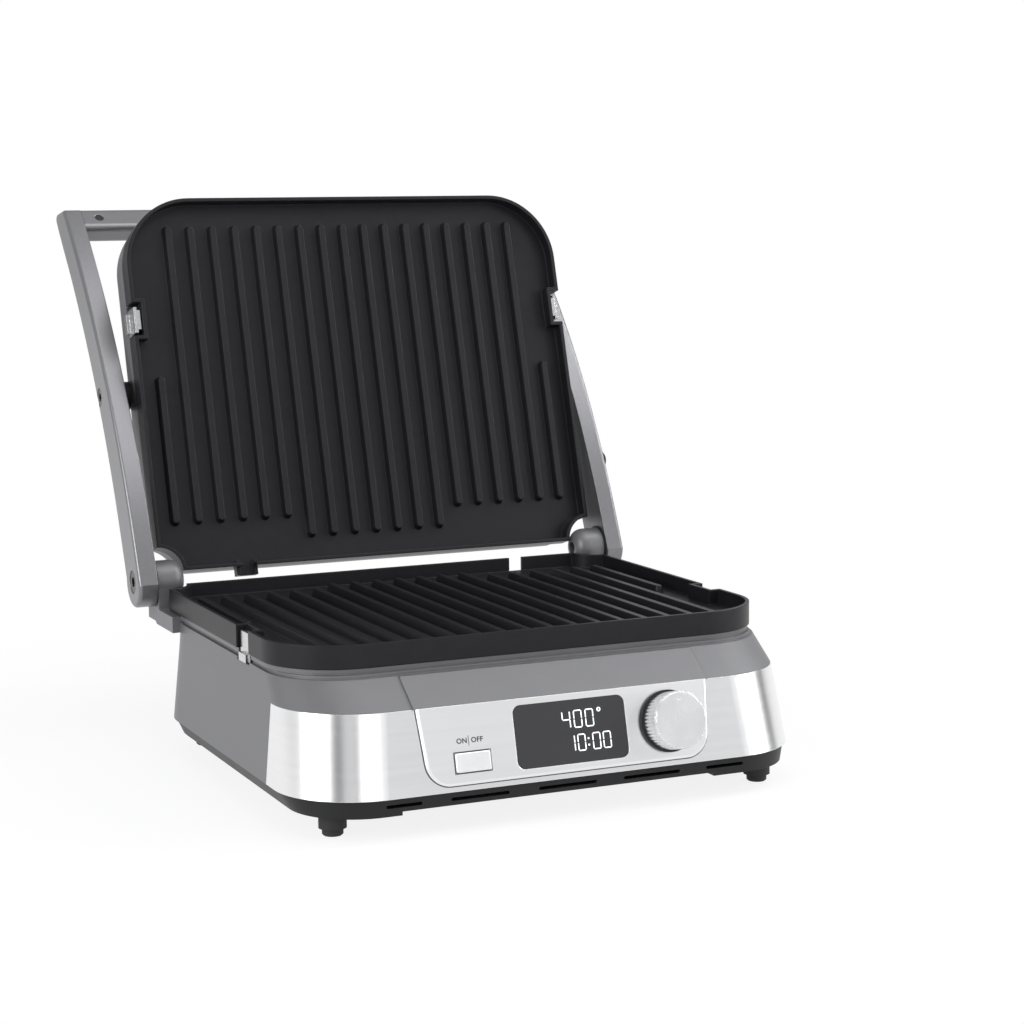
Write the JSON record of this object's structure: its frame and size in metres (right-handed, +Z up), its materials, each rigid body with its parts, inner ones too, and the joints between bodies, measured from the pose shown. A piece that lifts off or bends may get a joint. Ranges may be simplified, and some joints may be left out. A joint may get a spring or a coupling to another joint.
{
  "type": "electric contact grill",
  "caption": "Countertop electric grill with ribbed removable plates, a floating lid on curved side arms, a sloped control panel with dial and key, and a rear drip tray.",
  "frame": {"origin": "on the ground under the feet, on the symmetry plane, 112.5 mm in front of the hinge axis", "axes": "+Z up, front with the control panel faces -Y, +X to the right seen from the front"},
  "size_m": [0.3283, 0.4521, 0.3274],
  "materials": {
    "housing_grey": "satin grey moulded shell, fine grain",
    "stainless": "brushed stainless sheet",
    "cast_plate": "dark satin nonstick coating on cast aluminium",
    "black_plastic": "black heat resistant moulding",
    "arm_silver": "satin silver grey paint",
    "display_glass": "smoked display window",
    "steel": "bright steel",
    "reflector": "aluminised sheet",
    "heater_sheath": "oxidised steel sheath",
    "ceramic": "ceramic insulator",
    "board": "circuit board",
    "rubber": "soft rubber",
    "knob_silver": "satin silver plated plastic"
  },
  "bodies": {
    "base": {"base_housing": "housing_grey", "front_band": "stainless", "control_panel": "stainless", "display_window": "display_glass", "display_module": "black_plastic", "control_board": "board", "board_screws": "steel", "encoder": "black_plastic", "power_switch": "black_plastic", "base_cover": "black_plastic", "rubber_feet": "rubber", "cover_screws": "steel", "inlet_bush": "rubber", "power_board": "board", "terminal_block": "ceramic", "lower_reflector": "reflector", "lower_heater": "heater_sheath", "lower_heater_clamps": "ceramic", "lower_thermostat": "ceramic", "lower_thermal_fuse": "steel"},
    "lower_plate": {"lower_plate": "cast_plate"},
    "lower_latch_left": {"lower_clip_left": "steel"},
    "lower_latch_right": {"lower_clip_right": "steel"},
    "drip_tray": {"drip_tray": "black_plastic"},
    "temperature_knob": {"knob_cap": "knob_silver", "knob_ring": "black_plastic"},
    "power_key": {"power_button": "knob_silver"},
    "arms": {"arm_left": "arm_silver", "arm_right": "arm_silver", "handle_bar": "arm_silver", "handle_screws": "steel", "hinge_screws": "steel", "pivot_screws": "steel", "hinge_washers": "black_plastic"},
    "release_lever": {"release_lever": "black_plastic"},
    "lid": {"lid_housing": "housing_grey", "lid_top_panel": "stainless", "pivot_lugs": "black_plastic", "upper_reflector": "reflector", "upper_heater": "heater_sheath", "upper_heater_clamps": "ceramic", "upper_thermostat": "ceramic", "upper_thermal_fuse": "steel"},
    "upper_plate": {"upper_plate": "cast_plate"},
    "upper_latch_left": {"upper_clip_left": "steel"},
    "upper_latch_right": {"upper_clip_right": "steel"}
  },
  "joints": [
    {"name": "arm_hinge", "type": "hinge", "parent": "base", "child": "arms", "pos_m": [0, 0.1125, 0.0985], "axis": [1, 0, 0], "range_deg": [-73, 106]},
    {"name": "lid_float", "type": "hinge", "parent": "arms", "child": "lid", "pos_m": [0, 0.17762, 0.20526], "axis": [1, 0, 0], "range_deg": [-4, 0]},
    {"name": "knob_turn", "type": "hinge", "parent": "base", "child": "temperature_knob", "pos_m": [0.0587, -0.15389, 0.0445], "axis": [0, -0.9711, 0.2388], "continuous": true},
    {"name": "power_press", "type": "slide", "parent": "base", "child": "power_key", "axis": [0, 0.9711, -0.2388], "range_m": [0, 0.001], "stiffness_N_per_m": 400},
    {"name": "lower_plate_lift", "type": "slide", "parent": "base", "child": "lower_plate", "axis": [0, 0, -1], "range_m": [-0.06, 0]},
    {"name": "upper_plate_lift", "type": "slide", "parent": "lid", "child": "upper_plate", "axis": [0, 0.9613, -0.2756], "range_m": [-0.05, 0]},
    {"name": "lower_latch_left_press", "type": "slide", "parent": "base", "child": "lower_latch_left", "axis": [-1, 0, 0], "range_m": [0, 0.003], "stiffness_N_per_m": 300},
    {"name": "lower_latch_right_press", "type": "slide", "parent": "base", "child": "lower_latch_right", "axis": [1, 0, 0], "range_m": [0, 0.003], "stiffness_N_per_m": 300},
    {"name": "upper_latch_left_press", "type": "slide", "parent": "lid", "child": "upper_latch_left", "axis": [-1, 0, 0], "range_m": [0, 0.003], "stiffness_N_per_m": 300},
    {"name": "upper_latch_right_press", "type": "slide", "parent": "lid", "child": "upper_latch_right", "axis": [1, 0, 0], "range_m": [0, 0.003], "stiffness_N_per_m": 300},
    {"name": "drip_tray_slide", "type": "slide", "parent": "base", "child": "drip_tray", "axis": [0, 1, 0], "range_m": [0, 0.055]},
    {"name": "lever_turn", "type": "hinge", "parent": "arms", "child": "release_lever", "pos_m": [0.164, 0.136, 0.152], "axis": [1, 0, 0], "range_deg": [-25, 0], "stiffness_Nm_per_rad": 0.3}
  ]
}
